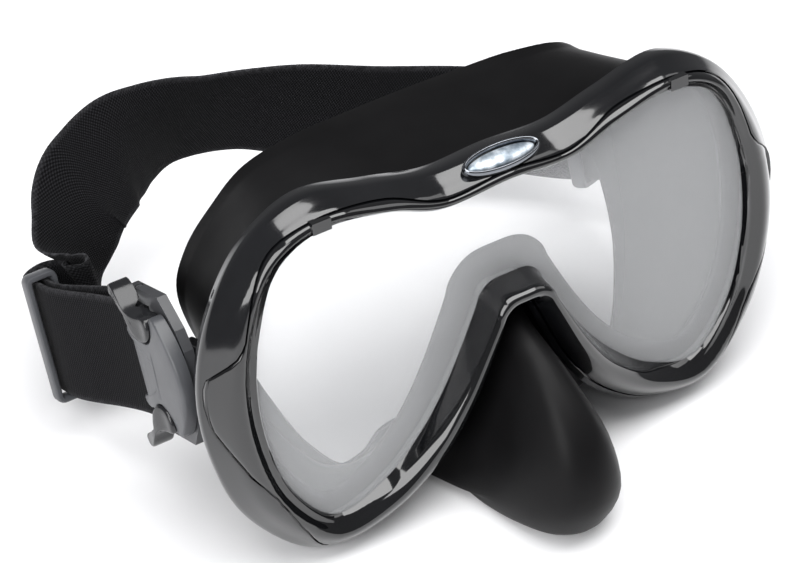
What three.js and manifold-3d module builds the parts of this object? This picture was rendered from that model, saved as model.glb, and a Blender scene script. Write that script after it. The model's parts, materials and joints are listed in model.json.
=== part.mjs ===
// Single-lens diving mask with a folded-back strap on swivel buckles.
// Millimetres, +Z up, the wearer looks along -Y. Left and right are the wearer's: left is +X.
// Every piece is drawn in the lens frame, whose origin is the middle of the lens opening on the
// front face of the glass and whose +Z lies in the glass. The whole mask is then leant back
// as it stands on a table, and moved so that the origin is the middle of its footprint.
import * as THREE from 'three';
import Module from 'manifold-3d';
import { mergeVertices } from 'three/addons/utils/BufferGeometryUtils.js';

const wasm = await Module();
wasm.setup();

// ---- driving dimensions ----
const leanBack = THREE.MathUtils.degToRad(8.5);
const gap = 0.35; // between touching pieces
const stationsPerSpan = 3; // steps between two ring rows
const lensThick = 4;
const lensLap = 2.4; // glass hidden under the bezel
const bezelBack = 3; // depth of the bezel's rear face behind the glass front
const bezelWall = 1.1; // bezel lip that wraps the glass edge
const lipThick = 2; // silicone seat behind the glass
const skirtWall = 1.8;
const flangeInset = 2.1; // how far the frame's rear flange stays outside the opening
const flangeBack = 8.6;

// Swivel buckles, given for the wearer's left. The buckle's own frame starts at the swivel
// axis; its +Y runs back along the strap and its +Z along the strap's width.
const pivot = { y: 22.6, z: 1 };
const buckleLean = THREE.MathUtils.degToRad(15);
const lug = { inX: 72.4, outX: 76.4, root: 8, r: 6.5, half: 8 }; // frame arm that carries the post
const postR = 3.4;
const yokeIn = 76.8;
const yokeOut = 79.4;
const clipR = 5.3;
const clipThick = 0.8;
const clipPocket = 1.3;
const armIn = 15.6; // inner face of each yoke arm, from the strap's centre line
const armOut = 19.2;
const roller = { x: 78.1, y: 12.5, r: 1.7 };
const pinR = 0.8;
const coverThick = 2.2;
const hornPivot = { y: 4.5, z: 12.5 };
const hornR = 4.2;
const hornThick = 3;

const strapWidth = 30;
const strapThick = 1.4;
const rollerGap = 0.35; // between roller and strap
const slider = { y: 51.4, deep: 4.2, bar: 1.8, inX: 83.6, outX: 92.3 };
const tuck = THREE.MathUtils.degToRad(24); // the left loop lies turned inwards round its roller

// Ring rows from the brow centre round the wearer's left half to the nose bridge: opening
// edge x, z; frame edge x, z; depth of the front crest; depth of the rear edge; the bezel's
// share of the ring's width; and the share of the width that the rear face keeps.
const ringRows = [
  [0, 34.3, 0, 41.5, -5, 8, 0.34, 0.93],
  [18.4, 33.1, 17, 41, -4.5, 8, 0.34, 0.93],
  [31.7, 37.9, 32, 44, -4, 8.5, 0.34, 0.93],
  [49.4, 40.1, 51, 47, -3, 9.5, 0.34, 0.92],
  [60.9, 35, 66, 39, -2, 10, 0.36, 0.9],
  [67.6, 20, 77, 23.5, -2, 10.2, 0.45, 0.9],
  [69.9, 4.9, 82.5, 5, -2.5, 10.2, 0.76, 0.9],
  [69, -11.5, 81.5, -14, -3, 10.2, 0.84, 0.85],
  [63.8, -28.2, 74.5, -34, -3, 10, 0.84, 0.78],
  [53.2, -39.8, 57, -51, -3.5, 9.5, 0.82, 0.8],
  [39.4, -36, 39, -48.6, -5, 9.5, 0.82, 0.8],
  [28.3, -27, 22.5, -37, -6.5, 9, 0.84, 0.66],
  [19.8, -16.1, 12.3, -21.5, -8, 8.6, 0.86, 0.62],
  [9.9, 1.8, 5, -4.4, -9, 8.6, 0.86, 0.62],
  [8.5, 4.9, 3.6, -1.6, -9, 8.6, 0.86, 0.62],
  [5.4, 7.4, 2, -0.4, -9, 8.6, 0.86, 0.62],
  [0, 7.8, 0, -0.2, -9, 8.6, 0.86, 0.62],
];
const edgeDrop = 7.5; // how far the ring's outer edge lies behind its front crest

// Rear sealing edge of the skirt at each ring row: x, y, z.
const sealEdge = [
  [0, 44, 38], [17, 43.5, 38], [31, 42.5, 38], [46, 41.5, 35.5], [54, 43.5, 27.5],
  [61, 47, 16], [64, 49, 4], [62.5, 44, -9], [57, 34, -24], [50, 27, -38],
  [42, 22, -46.6], [33, 24, -48], [24, 29, -47.8], [17, 29.5, -47.7], [11, 29, -47.8],
  [5.5, 28.5, -47.9], [0, 28.5, -47.9],
];
const flangeWidth = 7; // soft flange that turns inwards from the sealing edge
// Oval badge let into the brow, and the lock tabs across the bezel's seam at the brow corners.
const badge = { y: -0.7, z: 39.9, a: 10.7, b: 3.8, rim: 1.1, high: 1.8, sunk: 0.9 };
const badgeLean = THREE.MathUtils.degToRad(24);
const lockTab = { x0: 47.5, x1: 52.5, y0: -3.4, y1: -1.3, z0: 41.2, z1: 44.2 };
// Outer surface of the nose pocket at ring rows 11 to 16, from behind the frame, down and
// forward over the ridge, and back under the nostrils: x, y, z.
const noseFirstRow = 11;
const nosePocket = [
  [[24.5, 9.6, -33.5], [22.6, 9.4, -39], [22.8, 10, -43.4], [23.5, 12.5, -46.6], [25, 16, -48.2],
    [27, 19, -48.6], [29.5, 21.5, -48.6]],
  [[15.5, 9.6, -19.5], [11, 6, -24.5], [12.5, -2, -32], [15, -6, -41], [17, -2, -49.3],
    [18, 10, -49.4], [20.5, 21, -48.8]],
  [[7, 9.6, -2.2], [5, 3, -7.5], [7, -9, -17], [11.5, -18, -31], [14.2, -17, -45],
    [14.8, -6.5, -52], [15.5, 13, -49.8]],
  [[5.5, 9.4, 1], [3.7, 1, -4.6], [5.2, -15, -14.5], [8.8, -26.5, -29], [11.4, -26.5, -44],
    [11.8, -16, -53.2], [10.5, 7, -50.6]],
  [[3.2, 9.4, 2.3], [2, 0.6, -3.4], [3, -17, -12.8], [5.4, -30.5, -27.5], [7, -32.5, -43],
    [6.7, -23, -54.6], [5.4, 2, -51.2]],
  [[0, 9.4, 2.6], [0, 0.5, -2.8], [0, -17.5, -12.2], [0, -32, -27], [0, -35, -42],
    [0, -26, -55], [0, 1, -51.4]],
];
const neckOffset = 1.2; // outer face of the skirt's neck, outside the opening
const neckBack = 9;
const skirtSteps = 10;
const panelCuts = { browX: 52, noseX: 26, cheekZ: -20, far: 150 }; // seams between the skirt's panels

// Head band from the right slider round the back of the head to the left slider, in the lens
// frame: centre x, y, z, then the direction of the band's width.
const headBand = [
  [-85.4, 81, -14, 0, 0.26, 0.97],
  [-82.4, 81, -13, 0, 0.27, 0.96],
  [-79, 77, -11.5, -0.02, 0.28, 0.96],
  [-75.8, 74.2, -10, -0.05, 0.27, 0.96],
  [-73.4, 76, -9, -0.12, 0.22, 0.96],
  [-73.6, 82.3, -7.4, -0.35, 0.05, 0.93],
  [-74, 89.6, -4, -0.62, -0.18, 0.76],
  [-69.9, 93.7, 2, -0.77, -0.1, 0.63],
  [-65, 98, 7.4, -0.58, 0.22, 0.78],
  [-59, 102.3, 9, -0.37, 0.32, 0.87],
  [-50.5, 107.2, 10, -0.16, 0.34, 0.92],
  [-41.9, 112.3, 8.2, 0.1, 0.18, 0.98],
  [-34, 116, 6.8, 0.19, -0.06, 0.98],
  [-23, 119, 4.8, 0.18, -0.32, 0.93],
  [-7.7, 117.9, 2.3, 0.1, -0.34, 0.93],
  [6, 113.5, -1, 0.16, -0.22, 0.96],
  [26, 105.5, -6.5, 0.1, -0.08, 0.98],
  [45, 96.5, -10.5, 0.06, 0.08, 0.98],
  [57, 88.5, -12.5, 0.02, 0.18, 0.98],
];

// ---- materials ----
function material(color, roughness, metalness = 0) {
  return new THREE.MeshStandardMaterial({ color, roughness, metalness });
}
const glossBlack = material(0x101114, 0.12);
const bezelBlack = material(0x0b0b0d, 0.08);
const silicone = material(0x121213, 0.5);
const satinGrey = material(0x3a3b3f, 0.4);
const tabGrey = material(0x2b2c2f, 0.25);
const webbing = material(0x1c1c1f, 0.9);
const steel = material(0xb9bcc2, 0.3, 1);
const chrome = material(0xdfe3e8, 0.08, 1);
const silver = material(0xb8c0c8, 0.25, 0.6);
const clearGlass = material(0xc9d2d6, 0.03);
clearGlass.transparent = true;
clearGlass.opacity = 0.35;

// ---- geometry helpers ----
const v3 = (x, y, z) => new THREE.Vector3(x, y, z);

function signedVolume(points, index) {
  let six = 0;
  for (let i = 0; i < index.length; i += 3) {
    const [a, b, c] = [points[index[i]], points[index[i + 1]], points[index[i + 2]]];
    six += a.dot(b.clone().cross(c));
  }
  return six / 6;
}

function solidFrom(points, index) {
  if (signedVolume(points, index) < 0) index.reverse();
  const geometry = new THREE.BufferGeometry();
  geometry.setAttribute('position', new THREE.Float32BufferAttribute(points.flatMap((p) => p.toArray()), 3));
  geometry.setIndex(index);
  geometry.computeVertexNormals();
  return geometry;
}

// A solid through closed sections of equal length; the ends are joined, or capped by a fan.
function loft(sections, joined) {
  const rows = sections.length;
  const size = sections[0].length;
  const index = [];
  for (let r = 0; r < (joined ? rows : rows - 1); r++) {
    for (let k = 0; k < size; k++) {
      const a = r * size + k;
      const b = r * size + ((k + 1) % size);
      const c = ((r + 1) % rows) * size + k;
      const d = ((r + 1) % rows) * size + ((k + 1) % size);
      index.push(a, c, b, b, c, d);
    }
  }
  if (!joined) {
    const last = (rows - 1) * size;
    for (let k = 1; k < size - 1; k++) {
      index.push(0, k, k + 1, last, last + k + 1, last + k);
    }
  }
  return solidFrom(sections.flat(), index);
}

function bySide(geometry, side) {
  if (side > 0) return geometry;
  const copy = geometry.index ? geometry.toNonIndexed() : geometry.clone();
  const position = copy.getAttribute('position');
  for (let i = 0; i < position.count; i += 3) {
    const corner = [0, 1, 2].map((k) => v3().fromBufferAttribute(position, i + k));
    [0, 2, 1].forEach((from, k) => position.setXYZ(i + k, -corner[from].x, corner[from].y, corner[from].z));
  }
  copy.computeVertexNormals();
  return copy;
}

function toManifold(geometry) {
  const bare = geometry.clone();
  bare.deleteAttribute('normal');
  bare.deleteAttribute('uv');
  const merged = mergeVertices(bare, 1e-4);
  return new wasm.Manifold(new wasm.Mesh({
    numProp: 3,
    vertProperties: new Float32Array(merged.getAttribute('position').array),
    triVerts: new Uint32Array(merged.index.array),
  }));
}

function fromManifold(solid) {
  const mesh = solid.getMesh();
  const geometry = new THREE.BufferGeometry();
  geometry.setAttribute('position', new THREE.BufferAttribute(mesh.vertProperties, 3));
  geometry.setIndex(new THREE.BufferAttribute(mesh.triVerts, 1));
  geometry.computeVertexNormals();
  return geometry;
}

// A bar of round section along X.
function barX(radius, x0, x1, y, z, sides = 24) {
  const bar = new THREE.CylinderGeometry(radius, radius, Math.abs(x1 - x0), sides);
  bar.rotateZ(Math.PI / 2);
  bar.translate((x0 + x1) / 2, y, z);
  return bar;
}

// A shape drawn in y, z and extruded along X from x0 to x1.
function slabX(shape, x0, x1, bevel = 0) {
  const slab = new THREE.ExtrudeGeometry(shape, {
    depth: x1 - x0 - 2 * bevel,
    bevelEnabled: bevel > 0,
    bevelThickness: bevel,
    bevelSize: bevel,
    bevelOffset: -bevel,
    bevelSegments: 1,
    curveSegments: 8,
  });
  slab.applyMatrix4(new THREE.Matrix4().set(0, 0, 1, 0, 1, 0, 0, 0, 0, 1, 0, 0, 0, 0, 0, 1));
  slab.translate(x0 + bevel, 0, 0);
  return slab;
}

// ---- ring stations ----
function mirrored(half, flip) {
  const other = half.slice(1, -1).reverse().map(flip);
  return [...half, ...other];
}

function closedCurve(points) {
  const curve = new THREE.CatmullRomCurve3(points, true, 'centripetal');
  const count = points.length * stationsPerSpan;
  return Array.from({ length: count }, (_, i) => curve.getPoint(i / count));
}

const fullRows = mirrored(ringRows, ([xi, zi, xo, zo, ...rest]) => [-xi, zi, -xo, zo, ...rest]);
const openingEdge = closedCurve(fullRows.map(([xi, zi]) => v3(xi, 0, zi)));
const frameEdge = closedCurve(fullRows.map(([, , xo, zo]) => v3(xo, 0, zo)));
const ringDepths = closedCurve(fullRows.map((row) => v3(row[4], row[5], row[6])));
const ringTapers = closedCurve(fullRows.map((row) => v3(row[7], 0, row[4])));

// Outward normals of the opening edge, in the plane of the glass.
const outward = openingEdge.map((_, i) => {
  const count = openingEdge.length;
  const tangent = openingEdge[(i + 1) % count].clone().sub(openingEdge[(i + count - 1) % count]);
  return v3(-tangent.z, 0, tangent.x).normalize();
});

const stations = openingEdge.map((inner, i) => {
  const outer = frameEdge[i];
  const { x: crest, y: rear, z: share } = ringDepths[i];
  const width = inner.distanceTo(outer);
  return {
    inner,
    outer,
    out: outward[i],
    crest,
    rear,
    share,
    taper: ringTapers[i].x,
    edge: crest + edgeDrop,
    width,
    across: (w, y) => inner.clone().lerp(outer, w).setY(y),
    offset: (d, y) => inner.clone().addScaledVector(outward[i], d).setY(y),
  };
});

// Depth of the ring's front surface at a share w of its width.
function frontDepth(station, w) {
  const profile = [[0, -0.4], [0.05, -1.6], [0.16, 0.8], [0.36, 1], [0.6, 0.8], [0.8, 0.35], [1, 0]];
  const { edge } = station;
  const at = profile.findIndex(([share]) => share >= w);
  if (w <= 0.05) return THREE.MathUtils.lerp(-0.4, -1.6, w / 0.05);
  const [w0, f0] = profile[at - 1];
  const [w1, f1] = profile[at];
  const start = at === 2 ? (-1.6 - edge) / (station.crest - edge) : f0;
  const factor = THREE.MathUtils.lerp(start, f1, (w - w0) / (w1 - w0));
  return edge + (station.crest - edge) * factor;
}

// ---- pieces of the ring ----
function lens() {
  const points = stations.map((s) => s.offset(lensLap, 0));
  const shape = new THREE.Shape(points.map((p) => new THREE.Vector2(p.x, p.z)));
  const glass = new THREE.ExtrudeGeometry(shape, { depth: lensThick, bevelEnabled: false });
  glass.rotateX(Math.PI / 2);
  glass.translate(0, lensThick, 0);
  return glass;
}

function bezel() {
  const lapEnd = lensLap + gap;
  const ring = loft(stations.map((s) => {
    const edge = Math.max(s.share, (lapEnd + bezelWall) / s.width);
    const front = [0, 0.05, 0.16, 0.36, 0.6, 0.8].map((w) => Math.min(w, edge * w / 0.8));
    return [
      ...front.map((w) => s.across(w, frontDepth(s, w))),
      s.across(edge, bezelBack),
      s.offset(lapEnd, bezelBack),
      s.offset(lapEnd, -gap),
    ];
  }), true);
  return withTabBeds(toManifold(ring).subtract(toManifold(badgeBed())));
}

function withTabBeds(solid) {
  return fromManifold(solid
    .subtract(toManifold(lockTabBlock(1, gap)))
    .subtract(toManifold(lockTabBlock(-1, gap))));
}

function frameRing() {
  return loft(stations.map((s) => {
    const edge = Math.max(s.share, (lensLap + gap + bezelWall) / s.width) + gap / s.width;
    const mid = edge + (1 - edge) * 0.5;
    return [
      s.across(edge, frontDepth(s, edge)),
      s.across(mid, frontDepth(s, mid)),
      s.across(0.985, s.edge - 1.3),
      s.across(1, s.edge + 0.3),
      s.across((1 + s.taper) / 2, (s.edge + s.rear) / 2),
      s.across(s.taper, s.rear - 0.8),
      s.across(s.taper - 0.08, s.rear),
      s.offset(flangeInset + 1, Math.max(flangeBack, s.rear - 4)),
      s.offset(flangeInset, flangeBack - 0.6),
      s.offset(flangeInset, lensThick + lipThick + 2 * gap + 0.1),
      s.offset(lensLap + gap + 0.5, lensThick + lipThick + 2 * gap + 0.1),
      s.offset(lensLap + gap + 0.5, bezelBack + gap),
      s.across(edge, bezelBack + gap),
    ];
  }), true);
}

// A body that stands on the ring's brow: drawn on its local XY plane, +Z away from the frame.
function onBadge(geometry) {
  geometry.rotateX(badgeLean);
  geometry.translate(0, badge.y, badge.z);
  return geometry;
}

function ellipse(a, b) {
  const outline = new THREE.Path();
  outline.absellipse(0, 0, a, b, 0, 2 * Math.PI);
  return new THREE.Shape(outline.getPoints(32).slice(0, -1));
}

function ovalPlate(a, b, z0, z1, holeA = 0, holeB = 0) {
  const shape = ellipse(a, b);
  if (holeA > 0) shape.holes.push(ellipse(holeA, holeB));
  const plate = new THREE.ExtrudeGeometry(shape, { depth: z1 - z0, bevelEnabled: false });
  plate.translate(0, 0, z0);
  return onBadge(plate);
}

function badgeBed() {
  return ovalPlate(badge.a + gap, badge.b + gap, -badge.sunk, 9);
}

// The arm that stands off the frame's temple and ends in the post of the swivel.
function templeLug() {
  const { inX, outX, root, r, half } = lug;
  const round = Array.from({ length: 9 }, (_, k) => {
    const turn = THREE.MathUtils.degToRad(80 - 20 * k);
    return [pivot.y + r * Math.cos(turn), pivot.z + r * Math.sin(turn)];
  });
  const outline = shapeThrough([[root, -half], [root, half + 4], ...round]);
  const arm = toManifold(slabX(outline, inX, outX));
  return arm.add(toManifold(barX(postR, inX + 1, yokeOut - clipPocket, pivot.y, pivot.z)));
}

function mainFrame() {
  const arm = templeLug();
  return withTabBeds(toManifold(frameRing())
    .add(arm)
    .add(arm.mirror([1, 0, 0]))
    .subtract(toManifold(badgeBed())));
}

// A lock tab, or with room > 0 the pocket that it stands in.
function lockTabBlock(side, room = 0) {
  const { x0, x1, y0, y1, z0, z1 } = lockTab;
  const front = room > 0 ? y0 - 9 : y0;
  const block = boxBetween(x0 - room, x1 + room, front, y1 + room, z0 - room, z1 + room);
  return bySide(block, side);
}

function skirt() {
  const rows = ringRows.map(([xi, zi, xo, zo], k) => {
    const seal = v3(...sealEdge[k]);
    if (k >= noseFirstRow) {
      return [...nosePocket[k - noseFirstRow].map((p) => v3(...p)), seal];
    }
    const neck = v3(xi, neckBack, zi).lerp(v3(xo, neckBack, zo), 0.1);
    return [1, 2, 3, 4, 5, 6, 7, 8].map((step) => neck.clone().lerp(seal, step / 8));
  });
  const full = mirrored(rows, (row) => row.map((p) => v3(-p.x, p.y, p.z)));
  const levels = rows[0].map((_, level) => closedCurve(full.map((row) => row[level])));
  const seal = levels[levels.length - 1];
  levels.push(seal.map((point, i) => {
    const next = seal[(i + 1) % seal.length];
    const last = seal[(i + seal.length - 1) % seal.length];
    const inward = v3(next.z - last.z, 0, last.x - next.x).normalize();
    return point.clone().addScaledVector(inward, flangeWidth).add(v3(0, -1.5, 0));
  }));
  const outer = stations.map((s, i) => {
    const path = [s.offset(neckOffset, neckBack - 0.6), ...levels.map((level) => level[i])];
    const curve = new THREE.CatmullRomCurve3(path, false, 'centripetal');
    return Array.from({ length: skirtSteps + 1 }, (_, k) => curve.getPoint(k / skirtSteps));
  });
  const count = stations.length;
  const inner = outer.map((path, i) => path.map((point, k) => {
    const along = path[Math.min(k + 1, skirtSteps)].clone().sub(path[Math.max(k - 1, 0)]);
    const around = outer[(i + 1) % count][k].clone().sub(outer[(i + count - 1) % count][k]);
    return point.clone().addScaledVector(along.cross(around).normalize(), skirtWall);
  }));
  const lipFront = lensThick + gap;
  const lipBack = lipFront + lipThick;
  return loft(stations.map((s, i) => [
    s.offset(lensLap - 0.1, lipFront),
    s.offset(lensLap - 0.1, lipBack),
    s.offset(neckOffset, lipBack + 0.2),
    ...outer[i],
    ...inner[i].slice(1).reverse(),
    s.offset(neckOffset - skirtWall, lipFront),
  ]), true);
}

// The moulding is cut into panels that leave its hollow open: brow, sides, cheeks and nose halves.
function skirtPanels() {
  const whole = toManifold(skirt());
  const { browX, noseX, cheekZ, far } = panelCuts;
  const panel = (x0, x1, z0, z1) => {
    const region = toManifold(boxBetween(x0, x1, -far, far, z0, z1));
    return fromManifold(whole.intersect(region));
  };
  const side = panel(browX + gap, far, cheekZ, far);
  const cheek = panel(noseX + gap, far, -far, cheekZ - gap);
  const nose = panel(gap / 2, noseX, -far, 15);
  return {
    skirt_brow: panel(-browX, browX, 15, far),
    left_nose_pocket: nose,
    right_nose_pocket: bySide(nose, -1),
    left_skirt_side: side,
    right_skirt_side: bySide(side, -1),
    left_skirt_cheek: cheek,
    right_skirt_cheek: bySide(cheek, -1),
  };
}

// ---- buckles, strap and sliders ----
function buckleGroup() {
  const group = new THREE.Group();
  group.position.set(0, pivot.y, pivot.z);
  group.rotation.x = -buckleLean;
  return group;
}

function fromBuckle(x, y, z) {
  const point = v3(x, y, z).applyAxisAngle(v3(1, 0, 0), -buckleLean);
  return point.add(v3(0, pivot.y, pivot.z));
}

function boxBetween(x0, x1, y0, y1, z0, z1) {
  const block = new THREE.BoxGeometry(x1 - x0, y1 - y0, z1 - z0);
  block.translate((x0 + x1) / 2, (y0 + y1) / 2, (z0 + z1) / 2);
  return block;
}

function shapeThrough(points) {
  return new THREE.Shape(points.map(([y, z]) => new THREE.Vector2(y, z)));
}

function barZ(radius, x, y, z0, z1, sides = 16) {
  const bar = new THREE.CylinderGeometry(radius, radius, z1 - z0, sides);
  bar.rotateX(Math.PI / 2);
  bar.translate(x, y, (z0 + z1) / 2);
  return bar;
}

// The hub round the post with two arms that carry the roller's pin.
function yoke() {
  const tip = roller.y + 3.2;
  const outline = shapeThrough([
    [0, armOut], [tip, armOut], [tip, armIn], [6.4, armIn], [6.4, -armIn], [tip, -armIn],
    [tip, -armOut], [0, -armOut], [-6, -12], [-8, -7], [-8, 7], [-6, 12],
  ]);
  return fromManifold(toManifold(slabX(outline, yokeIn, yokeOut))
    .subtract(toManifold(barX(postR + gap, yokeIn - 1, yokeOut + 1, 0, 0)))
    .subtract(toManifold(barX(clipR + gap, yokeOut - clipPocket, yokeOut + 1, 0, 0)))
    .subtract(toManifold(barZ(pinR + 0.3, roller.x, roller.y, -armOut - 1, armOut + 1))));
}

// Crescent cover with a round socket at each end for the release horns.
function cover() {
  const half = [
    [-11.4, 0], [-10.8, 4.2], [-8.8, 8.4], [-5.6, 12.2], [-2.2, 15.6],
  ];
  const socket = Array.from({ length: 7 }, (_, k) => {
    const turn = THREE.MathUtils.degToRad(150 + 24 * k);
    return [
      hornPivot.y + (hornR + gap) * Math.cos(turn),
      hornPivot.z + (hornR + gap) * Math.sin(turn),
    ];
  });
  const notch = [[7.4, 6.2], [5.6, 3.2], [4.9, 0]];
  const upper = [...half, ...socket, ...notch];
  const lower = upper.slice(1, -1).reverse().map(([y, z]) => [y, -z]);
  const x0 = yokeOut + gap;
  return slabX(shapeThrough([...upper, ...lower]), x0, x0 + coverThick, 0.4);
}

function horn(end) {
  const disc = Array.from({ length: 12 }, (_, k) => {
    const turn = THREE.MathUtils.degToRad(150 + 20 * k);
    return [hornPivot.y + hornR * Math.cos(turn), hornPivot.z + hornR * Math.sin(turn)];
  });
  const outline = [
    ...disc, [9.6, 15.8], [13, 16.4], [17, 16.4], [17.4, 19.6], [11, 20.8], [5.2, 19.8], [1.6, 17.1],
  ];
  const x0 = yokeOut + gap;
  return slabX(shapeThrough(outline.map(([y, z]) => [y, end * z])), x0, x0 + hornThick, 0.4);
}

function rollerTube() {
  const half = armIn - gap;
  const tube = toManifold(barZ(roller.r, roller.x, roller.y, -half, half));
  const bore = toManifold(barZ(pinR + 0.3, roller.x, roller.y, -half - 1, half + 1));
  return fromManifold(tube.subtract(bore));
}

function sliderFrame(side) {
  const half = strapWidth / 2 + 0.5;
  const { y, deep, bar, inX, outX } = slider;
  const body = boxBetween(inX, outX, y, y + deep, -half - bar, half + bar);
  const room = boxBetween(inX + bar, outX - bar, y - 1, y + deep + 1, -half, half);
  const keeper = fromManifold(toManifold(body).subtract(toManifold(room)));
  keeper.translate(-roller.x, -roller.y, 0);
  keeper.rotateZ(side > 0 ? tuck : 0);
  keeper.translate(roller.x, roller.y, 0);
  return keeper;
}

// Centre line of the loop through one buckle, from the hemmed end at the slider round the
// roller and back to the slider on the inboard side.
function loopPath(side) {
  const turnR = roller.r + rollerGap + strapThick / 2;
  const outboard = [
    [88.8, 59], [88.8, 52], [88.6, 46], [86.8, 39], [84, 31], [81.8, 23], [roller.x + turnR, 17],
  ];
  const inboard = [
    [roller.x - turnR, 17], [76.1, 23], [78.9, 31], [83, 39], [86, 46], [86.5, 52], [86.5, 57.4],
  ];
  const round = [0, 1, 2, 3, 4].map((k) => {
    const turn = (k * Math.PI) / 4;
    return [roller.x + turnR * Math.cos(turn), roller.y - turnR * Math.sin(turn)];
  });
  const width = fromBuckle(0, 0, 1).sub(fromBuckle(0, 0, 0));
  const turned = side > 0 ? tuck : 0;
  return [...outboard, ...round, ...inboard].map(([x, y]) => {
    const local = v3(x - roller.x, y - roller.y, 0).applyAxisAngle(v3(0, 0, 1), turned);
    const centre = fromBuckle(local.x + roller.x, local.y + roller.y, 0);
    return { centre: centre.setX(side * centre.x), width };
  });
}

function strap() {
  const band = headBand.map(([x, y, z, a, b, c]) => ({
    centre: v3(x, y, z),
    width: v3(a, b, c),
  }));
  const path = [...loopPath(-1), ...band, ...loopPath(1).reverse()];
  const line = new THREE.CatmullRomCurve3(path.map((p) => p.centre), false, 'centripetal');
  const widths = new THREE.CatmullRomCurve3(path.map((p) => p.width), false, 'catmullrom', 0.5);
  const steps = (path.length - 1) * 3;
  return loft(Array.from({ length: steps + 1 }, (_, k) => {
    const centre = line.getPoint(k / steps);
    const along = line.getTangent(k / steps);
    const side = widths.getPoint(k / steps);
    const face = along.clone().cross(side).normalize().multiplyScalar(strapThick / 2);
    const half = face.clone().cross(along).normalize().multiplyScalar(strapWidth / 2);
    return [
      centre.clone().add(half).add(face),
      centre.clone().add(half).sub(face),
      centre.clone().sub(half).sub(face),
      centre.clone().sub(half).add(face),
    ];
  }), false);
}

// ---- export ----
const mask = new THREE.Group();
function addPiece(parent, name, geometry, look) {
  const mesh = new THREE.Mesh(geometry, look);
  mesh.name = name;
  parent.add(mesh);
  return mesh;
}

addPiece(mask, 'lens', lens(), clearGlass);
addPiece(mask, 'front_bezel', bezel(), bezelBlack);
addPiece(mask, 'main_frame', mainFrame(), glossBlack);
for (const [name, geometry] of Object.entries(skirtPanels())) {
  addPiece(mask, name, geometry, silicone);
}
const wellA = badge.a - badge.rim;
const wellB = badge.b - badge.rim;
const badgeBase = gap - badge.sunk;
addPiece(mask, 'badge_ring', ovalPlate(badge.a, badge.b, badgeBase, badge.high, wellA, wellB), chrome);
addPiece(mask, 'badge_insert', ovalPlate(wellA - gap, wellB - gap, badgeBase, badge.high - 0.5), silver);
addPiece(mask, 'strap', strap(), webbing);

for (const [name, side] of [['left', 1], ['right', -1]]) {
  const buckle = buckleGroup();
  mask.add(buckle);
  const add = (piece, geometry, look) => {
    addPiece(buckle, `${name}_${piece}`, bySide(geometry, side), look);
  };
  const pinEnd = armOut - 0.2;
  const clipX = yokeOut - clipPocket + gap;
  add('swivel_yoke', yoke(), satinGrey);
  add('swivel_clip', barX(clipR, clipX, clipX + clipThick, 0, 0), steel);
  add('buckle_cover', cover(), satinGrey);
  add('upper_horn', horn(1), tabGrey);
  add('lower_horn', horn(-1), tabGrey);
  add('roller_pin', barZ(pinR, roller.x, roller.y, -pinEnd, pinEnd), steel);
  add('strap_roller', rollerTube(), satinGrey);
  add('strap_slider', sliderFrame(side), satinGrey);
  addPiece(mask, `${name}_lock_tab`, lockTabBlock(side), glossBlack);
}

const stand = new THREE.Group();
mask.rotation.x = -leanBack;
stand.add(mask);
stand.updateMatrixWorld(true);
const box = new THREE.Box3().setFromObject(stand, true);
mask.position.set(-(box.min.x + box.max.x) / 2, -(box.min.y + box.max.y) / 2, -box.min.z);

export default stand;
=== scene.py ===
# Single-lens diving mask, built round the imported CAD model. Shapes are drawn in the lens frame, in
# millimetres, as in the CAD: x to the wearer's left, y backwards, z up in the plane of the glass.
import json
import math

import bmesh
import bpy
import numpy as np
from mathutils import Matrix, Vector

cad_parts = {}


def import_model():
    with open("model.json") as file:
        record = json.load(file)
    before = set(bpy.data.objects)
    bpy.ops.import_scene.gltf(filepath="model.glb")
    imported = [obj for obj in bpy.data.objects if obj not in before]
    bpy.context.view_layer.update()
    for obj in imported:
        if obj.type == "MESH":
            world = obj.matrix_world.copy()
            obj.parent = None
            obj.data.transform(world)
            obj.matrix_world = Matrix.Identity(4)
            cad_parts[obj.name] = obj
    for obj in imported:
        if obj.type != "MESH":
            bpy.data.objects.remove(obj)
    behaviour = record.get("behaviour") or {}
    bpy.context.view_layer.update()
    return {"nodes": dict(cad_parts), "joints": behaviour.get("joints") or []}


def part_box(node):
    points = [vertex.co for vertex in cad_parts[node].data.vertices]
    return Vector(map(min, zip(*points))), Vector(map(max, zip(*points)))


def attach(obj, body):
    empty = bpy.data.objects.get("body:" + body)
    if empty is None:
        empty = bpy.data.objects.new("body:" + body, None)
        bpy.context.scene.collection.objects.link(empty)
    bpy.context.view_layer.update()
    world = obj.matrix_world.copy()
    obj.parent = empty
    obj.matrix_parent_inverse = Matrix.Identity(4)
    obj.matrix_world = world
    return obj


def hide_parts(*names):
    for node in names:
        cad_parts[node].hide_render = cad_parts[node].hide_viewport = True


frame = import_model()

# ---- the lens frame ----
LEAN_BACK = math.radians(8.5)
PIVOT = (0.0, 22.6, 1.0)
BUCKLE_LEAN = math.radians(15)
swivel = Vector(next(j for j in frame["joints"] if j["name"] == "right_buckle_swivel")["pos_m"])
lens_low, lens_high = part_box("lens")
LEAN = Matrix.Rotation(-LEAN_BACK, 3, "X")
SHIFT = Vector(((lens_low.x + lens_high.x) / 2, swivel.y, swivel.z)) - LEAN @ Vector(PIVOT) / 1000
LEAN_NP = np.array(LEAN)
SHIFT_NP = np.array(SHIFT)


def world(points):
    """Lens frame in millimetres to the scene in metres."""
    return np.asarray(points, float) @ LEAN_NP.T / 1000 + SHIFT_NP


def from_buckle(points):
    """Buckle frame to the lens frame: turned about X at the swivel's axis."""
    p = np.asarray(points, float)
    c, s = math.cos(BUCKLE_LEAN), math.sin(BUCKLE_LEAN)
    x, y, z = p[..., 0], p[..., 1], p[..., 2]
    return np.stack([x, PIVOT[1] + y * c + z * s, PIVOT[2] - y * s + z * c], -1)


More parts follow.
